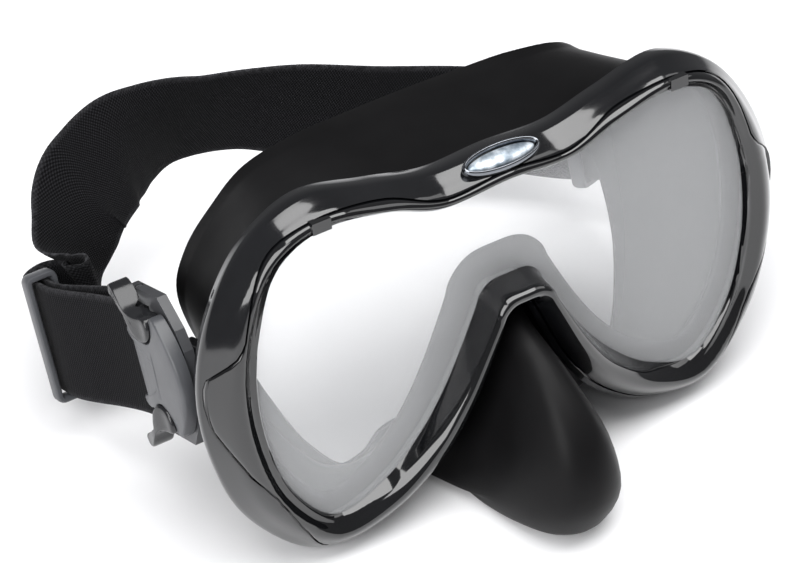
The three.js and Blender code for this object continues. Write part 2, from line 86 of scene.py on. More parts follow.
# ---- dimensions shared with the CAD ----
GAP = 0.35
LENS_THICK, LENS_LAP = 4.0, 2.4
BEZEL_BACK, BEZEL_WALL = 3.0, 1.1
LIP_THICK, SKIRT_WALL = 2.0, 1.8
FLANGE_INSET, FLANGE_BACK = 2.1, 8.6
EDGE_DROP = 7.5
ROLLER_X, ROLLER_Y, ROLLER_R = 78.1, 12.5, 1.7
YOKE_OUT = 79.4
STRAP_WIDTH, STRAP_THICK = 30.0, 1.4
TUCK = math.radians(24)
# Where the strap's two layers run straight into the turn round the roller.
LOOP_STRAIGHT = 17
# The strap thins beyond this share of its half-width, by this much of its thickness.
SELVEDGE, SELVEDGE_THIN = 0.9, 0.45

RING_ROWS = [
    [0, 34.3, 0, 41.5, -5, 8, 0.34, 0.93],
    [18.4, 33.1, 17, 41, -4.5, 8, 0.34, 0.93],
    [31.7, 37.9, 32, 44, -4, 8.5, 0.34, 0.93],
    [49.4, 40.1, 51, 47, -3, 9.5, 0.34, 0.92],
    [60.9, 35, 66, 39, -2, 10, 0.36, 0.9],
    [67.6, 20, 77, 23.5, -2, 10.2, 0.45, 0.9],
    [69.9, 4.9, 82.5, 5, -2.5, 10.2, 0.76, 0.9],
    [69, -11.5, 81.5, -14, -3, 10.2, 0.84, 0.85],
    [63.8, -28.2, 74.5, -34, -3, 10, 0.84, 0.78],
    [53.2, -39.8, 57, -51, -3.5, 9.5, 0.82, 0.8],
    [39.4, -36, 39, -48.6, -5, 9.5, 0.82, 0.8],
    [28.3, -27, 22.5, -37, -6.5, 9, 0.84, 0.66],
    [19.8, -16.1, 12.3, -21.5, -8, 8.6, 0.86, 0.62],
    [9.9, 1.8, 5, -4.4, -9, 8.6, 0.86, 0.62],
    [8.5, 4.9, 3.6, -1.6, -9, 8.6, 0.86, 0.62],
    [5.4, 7.4, 2, -0.4, -9, 8.6, 0.86, 0.62],
    [0, 7.8, 0, -0.2, -9, 8.6, 0.86, 0.62],
]
# The seam between bezel and frame: ring row, and share of the ring's width.
SEAM = [
    [0, 0.34], [3, 0.33], [4, 0.29], [4.9, 0.27], [5.12, 0.34], [5.25, 0.41], [5.38, 0.49],
    [5.5, 0.62], [5.62, 0.74], [5.75, 0.88], [5.9, 0.92], [6.12, 0.91], [6.5, 0.85], [6.75, 0.74],
    [7, 0.64], [7.25, 0.55], [7.5, 0.41], [7.75, 0.33], [8, 0.33], [8.25, 0.38], [8.5, 0.46],
    [8.75, 0.62], [9, 0.78], [9.25, 0.82], [10, 0.82], [16, 0.86],
]
# Width of the soft flange inside the sealing edge: ring row, millimetres.
FLANGE = [[0, 7], [3, 8], [4, 12], [5, 13], [6, 11], [7, 7], [8, 5], [9, 4], [11, 4], [16, 6]]
# How far the silicone seat shows inside the opening, at each ring row.
SEAT = [1.6, 1.6, 1.6, 1.6, 1.8, 2, 2.2, 2.4, 2.6, 3, 3.4, 4, 4.6, 5.2, 5.4, 5.6, 5.6]
SEAL_EDGE = [
    [0, 44, 38], [17, 43.5, 38], [31, 42.5, 38], [46, 41.5, 35.5], [54, 43.5, 27.5],
    [61, 47, 16], [64, 49, 4], [62.5, 44, -9], [57, 34, -24], [50, 27, -38],
    [42, 22, -46.6], [33, 24, -48], [24, 29, -47.8], [17, 29.5, -47.7], [11, 29, -47.8],
    [5.5, 28.5, -47.9], [0, 28.5, -47.9],
]
NOSE_FIRST_ROW = 11
NOSE_POCKET = [
    [[24.5, 9.6, -33.5], [22.6, 9.4, -39], [22.8, 10, -43.4], [23.5, 12.5, -46.6],
     [25, 16, -48.2], [27, 19, -48.6], [29.5, 21.5, -48.6]],
    [[15.5, 9.6, -19.5], [11, 6, -24.5], [12.5, -2, -32], [15, -6, -41],
     [17, -2, -49.3], [18, 10, -49.4], [20.5, 21, -48.8]],
    [[7, 9.6, -2.2], [5, 3, -7.5], [7, -9, -17], [11.5, -18, -31],
     [14.2, -17, -45], [14.8, -6.5, -52], [15.5, 13, -49.8]],
    [[5.5, 9.4, 1], [3.7, 1, -4.6], [5.2, -15, -14.5], [8.8, -26.5, -29],
     [11.4, -26.5, -44], [11.8, -16, -53.2], [10.5, 7, -50.6]],
    [[3.2, 9.4, 2.3], [2, 0.6, -3.4], [3, -17, -12.8], [5.4, -30.5, -27.5],
     [7, -32.5, -43], [6.7, -23, -54.6], [5.4, 2, -51.2]],
    [[0, 9.4, 2.6], [0, 0.5, -2.8], [0, -17.5, -12.2], [0, -32, -27],
     [0, -35, -42], [0, -26, -55], [0, 1, -51.4]],
]
NECK_OFFSET, NECK_BACK = 1.2, 9.0
HEAD_BAND = [
    [-85.4, 81, -14, 0, 0.26, 0.97],
    [-82.4, 81, -13, 0, 0.27, 0.96],
    [-79, 77, -11.5, -0.02, 0.28, 0.96],
    [-75.8, 74.2, -10, -0.05, 0.27, 0.96],
    [-73.4, 76, -9, -0.12, 0.22, 0.96],
    [-73.6, 82.3, -7.4, -0.35, 0.05, 0.93],
    [-74, 89.6, -4, -0.62, -0.18, 0.76],
    [-69.9, 93.7, 2, -0.77, -0.1, 0.63],
    [-65, 98, 7.4, -0.58, 0.22, 0.78],
    [-59, 102.3, 9, -0.37, 0.32, 0.87],
    [-50.5, 107.2, 10, -0.16, 0.34, 0.92],
    [-41.9, 112.3, 8.2, 0.1, 0.18, 0.98],
    [-34, 116, 6.8, 0.19, -0.06, 0.98],
    [-23, 119, 4.8, 0.18, -0.32, 0.93],
    [-7.7, 117.9, 2.3, 0.1, -0.34, 0.93],
    [6, 113.5, -1, 0.16, -0.22, 0.96],
    [26, 105.5, -6.5, 0.1, -0.08, 0.98],
    [45, 96.5, -10.5, 0.06, 0.08, 0.98],
    [57, 88.5, -12.5, 0.02, 0.18, 0.98],
]
NEAR_LAYER = [[88.8, 59], [88.8, 52], [88.6, 46], [86.8, 39], [84, 31], [81.8, 23]]
FAR_LAYER = [[76.1, 23], [78.9, 31], [83, 39], [86, 46], [86.5, 52], [86.5, 57.4]]


# ---- curves ----
def spline_at(points, t, closed=False, centripetal=True):
    """A Catmull-Rom curve through points at t from 0 to 1, the one that the CAD uses."""
    p = np.asarray(points, float)
    n = len(p)
    u = (n if closed else n - 1) * t
    i = int(math.floor(u))
    w = u - i
    if not closed and i >= n - 1:
        i, w = n - 2, 1.0
    if closed:
        q = [p[(i + k - 1) % n] for k in range(4)]
    else:
        before = p[i - 1] if i > 0 else 2 * p[0] - p[1]
        after = p[i + 2] if i + 2 < n else 2 * p[-1] - p[-2]
        q = [before, p[i], p[i + 1], after]
    if centripetal:
        d = [max(float(np.linalg.norm(q[k + 1] - q[k])), 1e-4) ** 0.5 for k in range(3)]
        t1 = ((q[1] - q[0]) / d[0] - (q[2] - q[0]) / (d[0] + d[1]) + (q[2] - q[1]) / d[1]) * d[1]
        t2 = ((q[2] - q[1]) / d[1] - (q[3] - q[1]) / (d[1] + d[2]) + (q[3] - q[2]) / d[2]) * d[1]
    else:
        t1, t2 = 0.5 * (q[2] - q[0]), 0.5 * (q[3] - q[1])
    a = 2 * q[1] - 2 * q[2] + t1 + t2
    b = -3 * q[1] + 3 * q[2] - 2 * t1 - t2
    return ((a * w + b) * w + t1) * w + q[1]


def closed_curve(points, per):
    count = len(points) * per
    return np.array([spline_at(points, i / count, closed=True) for i in range(count)])


def open_curve(points, count, centripetal=True):
    steps = np.linspace(0, 1, count)
    return np.array([spline_at(points, t, centripetal=centripetal) for t in steps])


def mirrored(half, flip):
    return list(half) + [flip(row) for row in reversed(half[1:-1])]


# ---- meshes ----
def make_piece(name, verts, faces, smooth_angle=40, uvs=None):
    mesh = bpy.data.meshes.new(name)
    mesh.from_pydata([tuple(v) for v in verts], [], [tuple(f) for f in faces])
    mesh.validate()
    obj = bpy.data.objects.new(name, mesh)
    bpy.context.scene.collection.objects.link(obj)
    if uvs is not None:
        layer = mesh.uv_layers.new(name="UVMap")
        for loop in mesh.loops:
            layer.data[loop.index].uv = uvs[loop.vertex_index]
    finish_mesh(mesh, smooth_angle)
    return obj


def finish_mesh(mesh, smooth_angle):
    work = bmesh.new()
    work.from_mesh(mesh)
    bmesh.ops.recalc_face_normals(work, faces=work.faces)
    work.to_mesh(mesh)
    work.free()
    mesh.polygons.foreach_set("use_smooth", [True] * len(mesh.polygons))
    mesh.set_sharp_from_angle(angle=math.radians(smooth_angle))


def loft(name, sections, joined, smooth_angle=40, uvs=None):
    """A body through closed sections (rows x size x 3, lens frame)."""
    rows, size = sections.shape[:2]
    faces = []
    for r in range(rows if joined else rows - 1):
        for k in range(size):
            a, b = r * size + k, r * size + (k + 1) % size
            c, d = ((r + 1) % rows) * size + k, ((r + 1) % rows) * size + (k + 1) % size
            faces.append((a, c, d, b))
    if not joined:
        faces.append(tuple(range(size)))
        faces.append(tuple(reversed(range((rows - 1) * size, rows * size))))
    return make_piece(name, world(sections.reshape(-1, 3)), faces, smooth_angle, uvs)


def slab(name, outline, x0, x1, side, bevel):
    """An outline in y, z extruded from x0 to x1 with rounded edges; side -1 mirrors it."""
    size = len(outline)
    verts = [(x0, y, z) for y, z in outline] + [(x1, y, z) for y, z in outline]
    faces = [tuple(range(size)), tuple(reversed(range(size, 2 * size)))]
    faces += [(k, (k + 1) % size, size + (k + 1) % size, size + k) for k in range(size)]
    points = np.array(verts, float)
    work = bmesh.new()
    corners = [work.verts.new(p) for p in points]
    for face in faces:
        work.faces.new([corners[k] for k in face])
    bmesh.ops.recalc_face_normals(work, faces=work.faces)
    bmesh.ops.bevel(
        work, geom=[e for e in work.edges if len({round(v.co.x, 3) for v in e.verts}) == 1],
        offset=bevel, segments=3, profile=0.6, affect="EDGES", clamp_overlap=True,
    )
    bmesh.ops.triangulate(work, faces=[f for f in work.faces if len(f.verts) > 4])
    local = np.array([v.co[:] for v in work.verts])
    local[:, 0] *= side
    for vert, p in zip(work.verts, world(local)):
        vert.co = p
    bmesh.ops.recalc_face_normals(work, faces=work.faces)
    mesh = bpy.data.meshes.new(name)
    work.to_mesh(mesh)
    work.free()
    obj = bpy.data.objects.new(name, mesh)
    bpy.context.scene.collection.objects.link(obj)
    finish_mesh(mesh, 35)
    return obj


def rounded(points, per=6, radius=1.0):
    """A closed outline with its corners rounded off."""
    p = [np.array(q, float) for q in points]
    out = []
    for k, corner in enumerate(p):
        before, after = p[k - 1], p[(k + 1) % len(p)]
        a, b = before - corner, after - corner
        cut = min(radius, 0.45 * np.linalg.norm(a), 0.45 * np.linalg.norm(b))
        start, end = corner + a / np.linalg.norm(a) * cut, corner + b / np.linalg.norm(b) * cut
        for i in range(per + 1):
            t = i / per
            out.append((1 - t) ** 2 * start + 2 * t * (1 - t) * corner + t ** 2 * end)
    return out


# ---- ring stations ----
PER = 8
flip_row = lambda r: [-r[0], r[1], -r[2], r[3], *r[4:]]
FULL_ROWS = mirrored(RING_ROWS, flip_row)
INNER = closed_curve([[r[0], 0, r[1]] for r in FULL_ROWS], PER)
OUTER = closed_curve([[r[2], 0, r[3]] for r in FULL_ROWS], PER)
DEPTHS = closed_curve([[r[4], r[5], r[6]] for r in FULL_ROWS], PER)
TAPERS = closed_curve([[r[7], 0, r[4]] for r in FULL_ROWS], PER)[:, 0]
SEATS = closed_curve([[s, 0, 0] for s in mirrored(SEAT, lambda s: s)], PER)[:, 0]
COUNT = len(INNER)
TANGENT = np.roll(INNER, -1, 0) - np.roll(INNER, 1, 0)
OUT = np.stack([-TANGENT[:, 2], np.zeros(COUNT), TANGENT[:, 0]], 1)
OUT /= np.linalg.norm(OUT, axis=1)[:, None]
WIDTH = np.linalg.norm(OUTER - INNER, axis=1)


class Station:
    def __init__(self, i):
        self.inner, self.outer, self.out = INNER[i], OUTER[i], OUT[i]
        self.crest, self.rear, _ = DEPTHS[i]
        self.row = min(i, COUNT - i) / PER
        self.share = float(np.interp(self.row, *np.transpose(SEAM)))
        self.taper, self.width = TAPERS[i], WIDTH[i]
        self.edge = self.crest + EDGE_DROP
        self.seat = SEATS[i]

    def across(self, w, y):
        p = self.inner + (self.outer - self.inner) * w
        return np.array([p[0], y, p[2]])

    def offset(self, d, y):
        p = self.inner + self.out * d
        return np.array([p[0], y, p[2]])

    def front(self, w):
        """Depth of the ring's front surface at a share w of its width."""
        profile = [(0, -0.4), (0.05, -1.5)]
        for share, rise in [(0.16, 0.8), (0.36, 1), (0.6, 0.82), (0.8, 0.42), (1, 0)]:
            profile.append((share, self.edge + (self.crest - self.edge) * rise))
        for (w0, y0), (w1, y1) in zip(profile, profile[1:]):
            if w <= w1:
                break
        k = [q[0] for q in profile].index(w0)
        slope = lambda j: (
            (profile[min(j + 1, 6)][1] - profile[max(j - 1, 0)][1])
            / (profile[min(j + 1, 6)][0] - profile[max(j - 1, 0)][0])
        )
        h = w1 - w0
        t = (w - w0) / h
        m0, m1 = slope(k) * h, slope(k + 1) * h
        return (
            (2 * t ** 3 - 3 * t ** 2 + 1) * y0 + (t ** 3 - 2 * t ** 2 + t) * m0
            + (3 * t ** 2 - 2 * t ** 3) * y1 + (t ** 3 - t ** 2) * m1
        )


STATIONS = [Station(i) for i in range(COUNT)]


def bezel_edge(s):
    return max(s.share, (LENS_LAP + GAP + BEZEL_WALL) / s.width)


def make_bezel():
    lap = LENS_LAP + GAP
    rows = []
    for s in STATIONS:
        edge = bezel_edge(s)
        roll = 0.35 / s.width
        shares = list(np.linspace(0, edge - roll, 16))
        path = [s.across(w, s.front(w)) for w in shares]
        last = s.front(edge)
        path.append(s.across(edge - 0.1 * roll, last + 0.14))
        path.append(s.across(edge, last + 0.5))
        path.append(s.across(edge, max(last + 1.2, BEZEL_BACK)))
        path.append(s.offset(lap, BEZEL_BACK))
        path.append(s.offset(lap, -GAP))
        path.append(s.offset(0.25, -0.12))
        rows.append(path)
    return loft("bezel_ring", np.array(rows), True, 38)


def make_frame():
    rows = []
    lip = LENS_THICK + LIP_THICK + 2 * GAP + 0.1
    for s in STATIONS:
        edge = bezel_edge(s) + GAP / s.width
        roll = 0.4 / s.width
        top = s.front(edge)
        path = [s.across(edge, top + 0.6), s.across(edge + 0.2 * roll, top + 0.2)]
        for w in np.linspace(edge + roll, 0.985, 12):
            ease = max(0.0, (w - 0.9) / 0.085)
            path.append(s.across(w, s.front(w) + 0.05 * ease))
        path += [
            s.across(1.0, s.edge + 0.55),
            s.across(1.0, s.edge + 1.4),
            s.across((1 + s.taper) / 2 + 0.02, (s.edge + s.rear) / 2),
            s.across(s.taper, s.rear - 0.9),
            s.across(s.taper - 0.02, s.rear - 0.25),
            s.across(s.taper - 0.08, s.rear),
            s.offset(FLANGE_INSET + 1, max(FLANGE_BACK, s.rear - 4)),
            s.offset(FLANGE_INSET, FLANGE_BACK - 0.6),
            s.offset(FLANGE_INSET, lip),
            s.offset(LENS_LAP + GAP + 0.5, lip),
            s.offset(LENS_LAP + GAP + 0.5, BEZEL_BACK + GAP),
            s.across(edge, BEZEL_BACK + GAP),
        ]
        rows.append(path)
    return loft("frame_shell", np.array(rows), True, 38)


def make_skirt():
    rows = []
    for k, row in enumerate(RING_ROWS):
        seal = np.array(SEAL_EDGE[k], float)
        if k >= NOSE_FIRST_ROW:
            rows.append([np.array(p, float) for p in NOSE_POCKET[k - NOSE_FIRST_ROW]] + [seal])
            continue
        inner = np.array([row[0], NECK_BACK, row[1]])
        outer = np.array([row[2], NECK_BACK, row[3]])
        neck = inner + 0.1 * (outer - inner)
        rows.append([neck + (seal - neck) * step / 8 for step in range(1, 9)])
    full = mirrored(rows, lambda row: [p * [-1, 1, 1] for p in row])
    levels = [closed_curve([row[level] for row in full], PER) for level in range(8)]
    seal = levels[-1]
    tangent = np.roll(seal, -1, 0) - np.roll(seal, 1, 0)
    inward = np.stack([tangent[:, 2], np.zeros(COUNT), -tangent[:, 0]], 1)
    inward /= np.linalg.norm(inward, axis=1)[:, None]
    wide = np.array([np.interp(s.row, *np.transpose(FLANGE)) for s in STATIONS])
    levels.append(seal + inward * wide[:, None] + [0, -1.5, 0])
    steps = 40
    outer = []
    for i, s in enumerate(STATIONS):
        path = [s.offset(NECK_OFFSET, NECK_BACK - 0.6)] + [level[i] for level in levels]
        outer.append(open_curve(path, steps + 1))
    outer = np.array(outer)
    along = np.zeros_like(outer)
    along[:, 1:-1] = outer[:, 2:] - outer[:, :-2]
    along[:, 0], along[:, -1] = outer[:, 1] - outer[:, 0], outer[:, -1] - outer[:, -2]
    around = np.roll(outer, -1, 0) - np.roll(outer, 1, 0)
    normal = np.cross(along, around)
    normal /= np.linalg.norm(normal, axis=2)[:, :, None]
    u = np.linspace(0, 1, steps + 1)
    thick = SKIRT_WALL * np.interp(u, [0, 0.6, 0.86, 0.9, 1], [1, 0.85, 0.8, 0.75, 0.5])
    inner = outer + normal * thick[None, :, None]
    bead = 0.55 * np.exp(-(((u - 0.885) / 0.018) ** 2))
    outer = outer - normal * bead[None, :, None]
    front = LENS_THICK + GAP
    rows = []
    for i, s in enumerate(STATIONS):
        tip = s.seat
        rows.append(
            [s.offset(LENS_LAP - 0.1, front), s.offset(LENS_LAP - 0.1, front + LIP_THICK),
             s.offset(NECK_OFFSET, front + LIP_THICK + 0.2)]
            + list(outer[i]) + list(inner[i][:0:-1])
            + [s.offset(-0.8, front + 3.4), s.offset(-0.5 * tip - 0.4, front + 1.9),
               s.offset(-tip, front + 1.3), s.offset(-tip - 0.25, front + 0.8),
               s.offset(-tip, front + 0.2), s.offset(-tip + 0.5, front)]
        )
    return loft("silicone_skirt", np.array(rows), True, 55)


# ---- strap ----
def tucked(points, side):
    """Buckle frame to the lens frame; the left loop lies turned inwards about its roller."""
    p = np.asarray(points, float)
    turn = TUCK if side > 0 else 0
    c, s = math.cos(turn), math.sin(turn)
    dx, dy = p[..., 0] - ROLLER_X, p[..., 1] - ROLLER_Y
    local = from_buckle(np.stack([ROLLER_X + dx * c - dy * s, ROLLER_Y + dx * s + dy * c, p[..., 2]], -1))
    local[..., 0] *= side
    return local


def loop_path(side):
    """Centre line of the strap's loop, from its sewn end round the roller and back."""
    turn_r = ROLLER_R + GAP + STRAP_THICK / 2
    half_turn = [
        [ROLLER_X + turn_r * math.cos(k * math.pi / 4), ROLLER_Y - turn_r * math.sin(k * math.pi / 4)]
        for k in range(5)
    ]
    before, after = [[ROLLER_X + turn_r, LOOP_STRAIGHT]], [[ROLLER_X - turn_r, LOOP_STRAIGHT]]
    flat = NEAR_LAYER + before + half_turn + after + FAR_LAYER
    return list(tucked([[x, y, 0] for x, y in flat], side))


def make_strap():
    band_width = from_buckle([0, 0, 1]) - from_buckle([0, 0, 0])
    right, left = loop_path(-1), loop_path(1)[::-1]
    centres = right + [np.array(r[:3], float) for r in HEAD_BAND] + left
    widths = (
        [band_width] * len(right) + [np.array(r[3:], float) for r in HEAD_BAND]
        + [band_width] * len(left)
    )
    count = (len(centres) - 1) * 9 + 1
    line = open_curve(centres, count)
    across = open_curve(widths, count, centripetal=False)
    along = np.gradient(line, axis=0)
    along /= np.linalg.norm(along, axis=1)[:, None]
    face = np.cross(along, across)
    face /= np.linalg.norm(face, axis=1)[:, None]
    half = np.cross(face, along)
    length = np.r_[0, np.cumsum(np.linalg.norm(np.diff(line, axis=0), axis=1))]
    shares = np.linspace(-1, 1, 13)
    sections, uvs = [], []
    for i in range(count):
        top, low = [], []
        for share in shares:
            edge = max(0.0, abs(share) - SELVEDGE) / (1 - SELVEDGE)
            thick = STRAP_THICK / 2 * (1 - SELVEDGE_THIN * edge ** 2)
            base = line[i] + half[i] * share * STRAP_WIDTH / 2
            top.append(base + face[i] * thick)
            low.append(base - face[i] * thick)
            uvs.append((length[i] / 1000, share * STRAP_WIDTH / 2000))
        uvs += [(length[i] / 1000, share * STRAP_WIDTH / 2000) for share in shares[::-1]]
        sections.append(top + low[::-1])
    obj = loft("strap_band", np.array(sections), False, 60, uvs)
    return obj, float(length[-1]) / 1000


# ---- buckles ----
HORN_PIVOT, HORN_R = (4.5, 12.5), 4.2
COVER_FACE, HORN_FACE = 83.9, 85.2
KEEPER_X, KEEPER_Y, KEEPER_HALF, KEEPER_BAR, KEEPER_DEPTH = (83.6, 92.3), 53.5, 17.3, 1.8, 4.2
LUG_X, HUB_R = (72.4, 76.4), 6.5
POST_X, POST_R = (73.4, 78.1), 3.4


def arc(centre, radius, start, end, count):
    turns = np.radians(np.linspace(start, end, count))
    return [(centre[0] + radius * math.cos(t), centre[1] + radius * math.sin(t)) for t in turns]


def pillow(name, outline, spine, low, high, side=1, soft=0.7):
    """A plate in the buckle frame over an outline in y, z.

    low and high give the x of its inner and outer faces. Its edge rolls over by soft, and the loops
    run from the outline in to the spine.
    """
    rim = np.array(outline, float)
    spine = np.array(spine, float)
    core = np.array([nearest_on(spine, p) for p in rim])
    loops = [
        (0.02, low, 0.0), (0, low, 0.4), (0, high, -soft), (0.03, high, -0.42 * soft),
        (0.09, high, -0.14 * soft), (0.2, high, 0), (0.45, high, 0), (0.75, high, 0), (1, high, 0),
    ]
    verts = []
    for share, face, lift in loops:
        flat = rim + (core - rim) * share
        verts += [(face(y, z) + lift, y, z) for y, z in flat]
    size = len(rim)
    faces = [tuple(range(size))]
    for r in range(len(loops) - 1):
        for k in range(size):
            n = (k + 1) % size
            faces.append((r * size + k, r * size + n, (r + 1) * size + n, (r + 1) * size + k))
    local = from_buckle(np.array(verts))
    local[:, 0] *= side
    obj = make_piece(name, world(local), faces, 50)
    work = bmesh.new()
    work.from_mesh(obj.data)
    bmesh.ops.remove_doubles(work, verts=work.verts, dist=1e-6)
    bmesh.ops.holes_fill(work, edges=[e for e in work.edges if e.is_boundary])
    bmesh.ops.triangulate(work, faces=[f for f in work.faces if len(f.verts) > 4])
    work.to_mesh(obj.data)
    work.free()
    finish_mesh(obj.data, 50)
    return obj


def nearest_on(line, p):
    """The point of a broken line nearest to p."""
    best, gap = line[0], 1e9
    for a, b in zip(line, line[1:]):
        t = np.clip(np.dot(p - a, b - a) / np.dot(b - a, b - a), 0, 1)
        q = a + t * (b - a)
        if np.linalg.norm(p - q) < gap:
            best, gap = q, np.linalg.norm(p - q)
    return best


def cover_outline():
    half = [(-9.8, 0), (-9.5, 3), (-8.8, 5.6), (-7.5, 8.4), (-6.1, 10.6), (-4.6, 12.6),
            (-3, 14.4), (-1.9, 15.3), (-0.9, 15.5)]
    socket = arc(HORN_PIVOT, HORN_R + GAP, 150, 338, 16)
    prong = [(10.3, 10.4), (12, 10.9), (13.6, 10.7), (14.7, 9.8), (15, 8.9), (14.4, 8),
             (12.6, 7.4), (9.6, 6.6), (7, 5.5), (4.8, 4), (3.2, 2.1), (2.6, 0)]
    upper = half + socket + prong
    return upper + [(y, -z) for y, z in reversed(upper[1:-1])]


# The middle line of the cover, out along each horn seat and back, and of a horn.
COVER_SPINE = [
    (12.6, 9.1), (8.5, 7.2), (1.5, 6.4), (-1.8, 8.6), (-3.6, 11.6), (-1.8, 8.6), (-3.2, 4.4),
    (-4.2, 0), (-3.2, -4.4), (-1.8, -8.6), (-3.6, -11.6), (-1.8, -8.6), (1.5, -6.4), (8.5, -7.2),
    (12.6, -9.1),
]
HORN_SPINE = [(4.5, 11.6), (6.6, 13.2), (9.4, 15.9), (11.4, 17.7), (14.4, 19.6)]


def cover_inner(y, _z):
    """The cover's inner face steps outwards where the strap turns round its roller."""
    return YOKE_OUT + GAP + 2.5 * smooth_step((y - 6.2) / 2.4)


def cover_outer(y, z):
    crown = min(1.0, ((y - 2) ** 2 + (0.85 * z) ** 2) / 200)
    return COVER_FACE + 0.4 * smooth_step((y - 3) / 8) - 1.1 * crown


def smooth_step(t):
    t = min(max(t, 0.0), 1.0)
    return t * t * (3 - 2 * t)


def horn_inner(y, z):
    """The horn's inner face steps outwards beside the strap, and is full width beyond its edge."""
    return YOKE_OUT + GAP + 2.6 * smooth_step((y - 6.8) / 2.4) * smooth_step(17.4 - abs(z))


def horn_outer(y, _z):
    return HORN_FACE - 0.4 * smooth_step((y - 10) / 6) - 1.1 * smooth_step((9.5 - y) / 7)


def horn_outline(end):
    disc = arc(HORN_PIVOT, HORN_R, 152, 344, 22)
    tab = [
        (9.1, 12.9), (9.4, 14.6), (10.1, 15.6), (11.3, 16), (12.4, 16.7), (13.6, 17.6), (15, 18.1),
        (16.1, 18.3), (16.6, 18.9), (16.5, 19.9), (15.9, 21.1), (15, 21.5), (13.8, 21.3), (12.4, 20.4),
        (11.2, 19), (10, 17.4), (8.6, 16.1), (6.8, 15.2), (4.9, 14.9), (3, 15), (1.6, 15),
    ]
    return [(y, end * z) for y, z in disc + tab]


def keeper_piece(name, side):
    """Rectangular keeper: a rounded section swept round a rounded rectangle."""
    x0, x1 = KEEPER_X
    cx = (x0 + x1) / 2
    hx, hz = (x1 - x0) / 2 - KEEPER_BAR / 2, KEEPER_HALF - KEEPER_BAR / 2
    corners = [(cx + hx, hz), (cx - hx, hz), (cx - hx, -hz), (cx + hx, -hz)]
    path = rounded(corners, 6, 1.4)
    squarish = lambda value: math.copysign(abs(value) ** 0.6, value)
    rows = []
    for k, p in enumerate(path):
        ahead, behind = path[(k + 1) % len(path)], path[k - 1]
        t = (ahead - behind) / np.linalg.norm(ahead - behind)
        n = np.array([-t[1], t[0]])
        row = []
        for j in range(16):
            turn = 2 * math.pi * j / 16
            a = squarish(math.cos(turn)) * KEEPER_BAR / 2
            b = squarish(math.sin(turn)) * KEEPER_DEPTH / 2
            row.append([p[0] + n[0] * a, KEEPER_Y + b, p[1] + n[1] * a])
        rows.append(row)
    return loft(name, tucked(rows, side), True, 40)


def lug_outline():
    """Arm of the frame at the temple, ending in the hub of the swivel post."""
    hub = arc(PIVOT[1:], HUB_R, 80, -80, 17)
    return rounded([(8, -7), (8, 13)], 1, 0.1) + hub


# ---- badge ----
BADGE = {"y": -0.7, "z": 39.9, "a": 10.7, "b": 3.8, "rim": 1.1, "high": 1.8}
BADGE_LEAN = math.radians(24)


def on_badge(points):
    p = np.asarray(points, float)
    c, s = math.cos(BADGE_LEAN), math.sin(BADGE_LEAN)
    x, y, z = p[..., 0], p[..., 1], p[..., 2]
    return np.stack([x, BADGE["y"] + y * c - z * s, BADGE["z"] + y * s + z * c], -1)


def make_badge_rim():
    rows = []
    a, b = BADGE["a"] - BADGE["rim"] / 2, BADGE["b"] - BADGE["rim"] / 2
    for t in np.linspace(0, 2 * math.pi, 97)[:-1]:
        n = np.array([math.cos(t) / a, math.sin(t) / b])
        n /= np.linalg.norm(n)
        row = []
        for j in range(14):
            turn = 2 * math.pi * j / 14
            d, h = math.cos(turn) * BADGE["rim"] / 2, 0.65 + math.sin(turn) * 1.15
            row.append([a * math.cos(t) + n[0] * d, b * math.sin(t) + n[1] * d, h])
        rows.append(row)
    return loft("badge_rim", on_badge(rows), True, 60)


def make_badge_dome():
    a, b = BADGE["a"] - BADGE["rim"] - GAP, BADGE["b"] - BADGE["rim"] - GAP
    rows = []
    turns = np.linspace(0, 2 * math.pi, 65)[:-1]
    for share, h in [(1, -0.5), (1, 0.6), (0.97, 0.85), (0.88, 1.1), (0.7, 1.3), (0.45, 1.42), (0.2, 1.48)]:
        rows.append([[a * share * math.cos(t), b * share * math.sin(t), h] for t in turns])
    return loft("badge_face", on_badge(rows), False, 50)


# ---- materials ----
class Look:
    """A Principled material whose colour, roughness and bump come from procedural nodes."""

    def __init__(self, name, **sockets):
        self.material = bpy.data.materials.new(name)
        self.material.use_nodes = True
        self.tree = self.material.node_tree
        self.shader = self.tree.nodes["Principled BSDF"]
        for socket, value in sockets.items():
            self.shader.inputs[socket.replace("_", " ")].default_value = value
        self.coords = self.tree.nodes.new("ShaderNodeTexCoord")

    def node(self, kind, **values):
        node = self.tree.nodes.new("ShaderNode" + kind)
        for key, value in values.items():
            if key in node.inputs:
                node.inputs[key].default_value = value
            else:
                setattr(node, key, value)
        return node

    def link(self, a, b):
        self.tree.links.new(a, b)

    def noise(self, scale, detail):
        node = self.node("TexNoise", Scale=scale, Detail=detail)
        self.link(self.coords.outputs["Object"], node.inputs["Vector"])
        return node.outputs["Fac"]

    def ramp(self, fac, stops):
        node = self.node("ValToRGB")
        ramp = node.color_ramp
        while len(ramp.elements) < len(stops):
            ramp.elements.new(0.5)
        for element, (place, colour) in zip(ramp.elements, stops):
            element.position = place
            element.color = (*colour, 1)
        self.link(fac, node.inputs["Fac"])
        return node.outputs["Color"]

    def spread(self, fac, low, high):
        node = self.node("MapRange")
        node.inputs["To Min"].default_value = low
        node.inputs["To Max"].default_value = high
        self.link(fac, node.inputs["Value"])
        return node.outputs["Result"]

    def bump(self, height, strength, distance, onto=None):
        node = self.node("Bump", Strength=strength, Distance=distance)
        self.link(height, node.inputs["Height"])
        if onto is not None:
            self.link(onto, node.inputs["Normal"])
        return node.outputs["Normal"]

    def into(self, socket, output):
        self.link(output, self.shader.inputs[socket])


